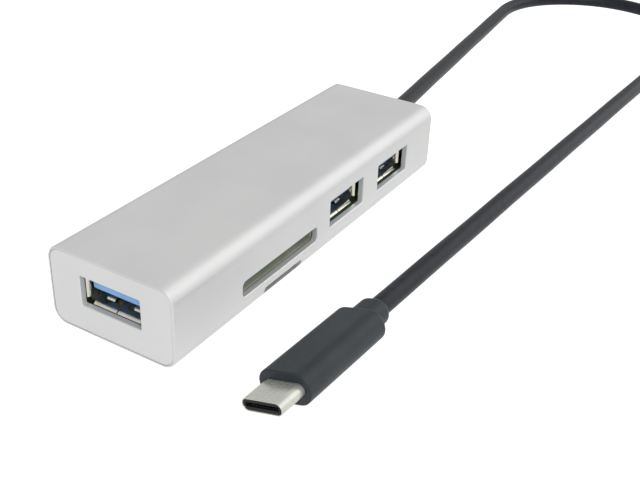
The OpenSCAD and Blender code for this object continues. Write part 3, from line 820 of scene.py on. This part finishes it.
def make_grommet():
    """Turned bush in the cable plate: a flange inside, a neck in the hole and a low cone outside."""
    bore, bore_edge, flange_r, flange_edge, cone_l = CABLE_R + 0.02, 0.15, 4.2, 0.1, 0.8
    back = -CAP_T - 1.5
    flange = [(back, flange_r - flange_edge), (back + flange_edge, flange_r), (-CAP_T, flange_r)]
    neck = [(-CAP_T, GROMMET_R), (0.0, GROMMET_R)]
    cone = [(0.0, 3.8), (0.45, 3.72), (0.7, 3.55), (cone_l, 3.3)]
    inside = [(cone_l, bore + bore_edge), (cone_l - bore_edge, bore), (back, bore)]

    def draw(bm):
        sections = [(x, circle(radius)) for x, radius in flange + neck + cone + inside]
        loft(bm, sections, Matrix.Translation((END_X, 0, MID_Z)) @ ALONG_X, looped=True)

    grommet = new_piece("grommet", draw)
    finish_piece(grommet, JACKET, "housing", ["cable_grommet"])


# ---- Plug, drawn with its cable joint at the origin and its tip along +X ----

GRIP_BACK = NECK_X + NECK_L
GRIP_FRONT = GRIP_BACK + GRIP_L


def grip_profile(shrink=0.0):
    return outline(GRIP_W - 2 * shrink, GRIP_T - 2 * shrink, max(GRIP_R - shrink, 0.3), 10)


def neck_profile(shrink=0.0):
    return outline(NECK_W - 2 * shrink, NECK_T - 2 * shrink, max(NECK_R - shrink, 0.3), 10)


def c_profile(grow=0.0):
    return outline(C_W + 2 * grow, C_T + 2 * grow, C_T / 2 + grow - 0.02, 10)


def overmould_shape(bm):
    """Solid grip: well rounded at the cable end, and almost sharp at the front."""
    rear_r, front_r = 0.9, 0.3
    rear_edge = [(GRIP_BACK + distance, grip_profile(inset)) for inset, distance in fillet(rear_r, 6)]
    front_edge = [(GRIP_FRONT - distance, grip_profile(inset)) for inset, distance in fillet(front_r, 4)]
    loft(bm, rear_edge + front_edge[::-1], PLUG @ ALONG_X)


def overmould_pocket(bm):
    """Pocket for the metal shell, with a narrow chamfer round it in the front face."""
    chamfer = 0.1
    sections = [(GRIP_FRONT - C_IN - PLAY, c_profile(PLAY)), (GRIP_FRONT - chamfer, c_profile(PLAY)),
                (GRIP_FRONT + REACH, c_profile(PLAY + chamfer + REACH))]
    loft(bm, sections, PLUG @ ALONG_X)


def neck_shape(bm):
    """Narrower collar round the cable, let into the grip's rear face by a hair."""
    shoulder_r, overlap = 1.5, 0.02
    shoulder = [(NECK_X + distance, neck_profile(inset)) for inset, distance in fillet(shoulder_r, 8)]
    loft(bm, shoulder + [(GRIP_BACK + overlap, neck_profile())], PLUG @ ALONG_X)


def plug_shell_shape(bm):
    """Drawn metal tube with a rounded lip."""
    tip, root = GRIP_FRONT + C_OUT, GRIP_FRONT - C_IN
    lip = fillet(C_SHEET / 2, 4)
    outer = [(tip - distance, c_profile(-inset)) for inset, distance in lip[::-1]]
    inner = [(tip - distance, c_profile(inset - C_SHEET)) for inset, distance in lip]
    sections = [(root, c_profile())] + outer + inner + [(root, c_profile(-C_SHEET))]
    loft(bm, sections, PLUG @ ALONG_X, looped=True)


def make_plug():
    """Grip, collar and metal shell, all on the plug's body."""
    grip = new_piece("overmould", overmould_shape)
    carve(grip, overmould_pocket)
    finish_piece(grip, RUBBER, "plug", ["plug_overmould"])
    neck = new_piece("collar", neck_shape)
    finish_piece(neck, RUBBER, "plug", ["plug_neck"])
    shell = new_piece("metal_shell", plug_shell_shape)
    finish_piece(shell, PLUG_STEEL, "plug", ["plug_shell"])


# ---- CAD nodes that stay: their edges are eased and each gets its material ----

KEPT_NODES = {
    "board_frame": FRAME_PLASTIC, "main_board": BOARD,
    "hub_chip": CHIP_PLASTIC, "card_reader_chip": CHIP_PLASTIC, "voltage_regulator": CHIP_PLASTIC,
    "power_inductor": FERRITE, "crystals": CAN_STEEL, "capacitors": CERAMIC,
    "resistors": FILM,
    "end_port_contacts": GOLD, "mid_port_contacts": GOLD, "rear_port_contacts": GOLD,
    "sd_socket_base": SOCKET_PLASTIC, "sd_socket_cover": SOCKET_STEEL, "sd_socket_contacts": GOLD,
    "micro_socket_base": SOCKET_PLASTIC, "micro_socket_cover": SOCKET_STEEL, "micro_socket_contacts": GOLD,
    "micro_slider": SLIDER_PLASTIC, "cable_wires": WIRES,
    "plug_insulator": BLACK_PLASTIC, "plug_contacts": GOLD, "plug_latch": PLUG_STEEL, "plug_board": BOARD,
}
SOFT_EDGE = 0.04


def dress_cad_nodes():
    """Gives each kept CAD node its material. The round wires keep their edges as they are."""
    for name, material in KEPT_NODES.items():
        node = frame["nodes"][name]
        node.data.materials.clear()
        node.data.materials.append(material)
        if name == "cable_wires":
            continue
        weld = node.modifiers.new("weld", "WELD")
        weld.merge_threshold = 0.001 * MM
        bevel = node.modifiers.new("ease", "BEVEL")
        bevel.width = SOFT_EDGE * MM
        bevel.segments = 2
        bevel.limit_method = "ANGLE"
        bevel.angle_limit = math.radians(40)


# ---- Floor, light and camera ----

def make_floor():
    """Pale disc that glows a little, so that it is white to the camera and lights the object from below."""
    floor_r, bottom, top = 3000, -4.0, -0.02

    def draw(bm):
        loft(bm, [(bottom, circle(floor_r)), (top, circle(floor_r))], ALONG_Z)

    floor = new_piece("floor", draw)
    floor.data.transform(Matrix.Scale(MM, 4))
    paper = Finish("floor_material", specular=0.2)
    fibre = paper.noise(9.0, detail=3)
    paper.shader.inputs["Emission Color"].default_value = (1, 1, 1, 1)
    seen = paper.node("ShaderNodeLightPath").outputs["Is Camera Ray"]
    paper.link(paper.remap(seen, (0, 1), (0.5, 0.8)), paper.shader.inputs["Emission Strength"])
    floor.data.materials.append(paper.done(paper.blend(fibre, (0.5, 0.5, 0.5), (0.52, 0.52, 0.52)), 0.9))


def make_world():
    """Soft grey studio that darkens towards the horizon, and is pure white to the camera."""
    world = bpy.data.worlds.new("studio")
    bpy.context.scene.world = world
    world.use_nodes = True
    tree = world.node_tree
    background = tree.nodes["Background"]
    background.inputs["Color"].default_value = (1, 1, 1, 1)
    split = tree.nodes.new("ShaderNodeSeparateXYZ")
    tree.links.new(tree.nodes.new("ShaderNodeTexCoord").outputs["Generated"], split.inputs["Vector"])
    level = tree.nodes.new("ShaderNodeValToRGB")
    level.color_ramp.elements.new(0.35)
    for index, (height, grey) in enumerate([(0.02, 0.4), (0.35, 0.73), (1.0, 0.67)]):
        level.color_ramp.elements[index].position = height
        level.color_ramp.elements[index].color = (grey, grey, grey, 1)
    tree.links.new(split.outputs["Z"], level.inputs["Fac"])
    path = tree.nodes.new("ShaderNodeLightPath")
    switch = tree.nodes.new("ShaderNodeMix")
    tree.links.new(path.outputs["Is Camera Ray"], switch.inputs["Factor"])
    tree.links.new(level.outputs["Color"], switch.inputs["A"])
    switch.inputs["B"].default_value = 1.0
    tree.links.new(switch.outputs["Result"], background.inputs["Strength"])


def softbox(name, position, target, size, power, colour=(1, 1, 1)):
    light = bpy.data.lights.new(name, "AREA")
    light.shape = "RECTANGLE"
    light.size, light.size_y = size[0] * MM, size[1] * MM
    light.energy = power
    light.color = colour
    lamp = bpy.data.objects.new(name, light)
    lamp.location = Vector(position) * MM
    aim = Vector(target) - Vector(position)
    lamp.rotation_euler = aim.to_track_quat("-Z", "Y").to_euler()
    bpy.context.scene.collection.objects.link(lamp)


def make_lights():
    """One large softbox, past the cable end, lights the port side's upper edge. The other fills the front."""
    softbox("edge_light", (420, -330, 300), (0, 0, 8), (600, 600), 1.05)
    softbox("camera_light", (-420, -480, 460), (0, 0, 8), (420, 420), 2.5)


def make_camera():
    """Camera on the port end's side, looking down the length of the housing."""
    yaw, pitch, roll = math.radians(30.625), math.radians(30.425), math.radians(2.313)
    forward = Vector((math.cos(yaw) * math.cos(pitch), math.sin(yaw) * math.cos(pitch), -math.sin(pitch)))
    right = forward.cross(Vector((0, 0, 1))).normalized()
    up = right.cross(forward)
    image_right = math.cos(roll) * right + math.sin(roll) * up
    image_up = math.cos(roll) * up - math.sin(roll) * right
    camera = bpy.data.objects.new("camera", bpy.data.cameras.new("camera"))
    place = axes(image_right, image_up, -forward, Vector((-146.143, -99.46, 102.631)) * MM)
    camera.matrix_world = place
    camera.data.sensor_width = 36.0
    camera.data.lens = 54.63
    camera.data.clip_start, camera.data.clip_end = 0.01, 10.0
    bpy.context.scene.collection.objects.link(camera)
    bpy.context.scene.camera = camera


make_sleeve()
make_caps()
make_ports()
make_push_spring()
make_grommet()
make_cable()
make_plug()
dress_cad_nodes()
make_floor()
make_world()
make_lights()
make_camera()
bpy.context.scene.view_settings.view_transform = "Standard"
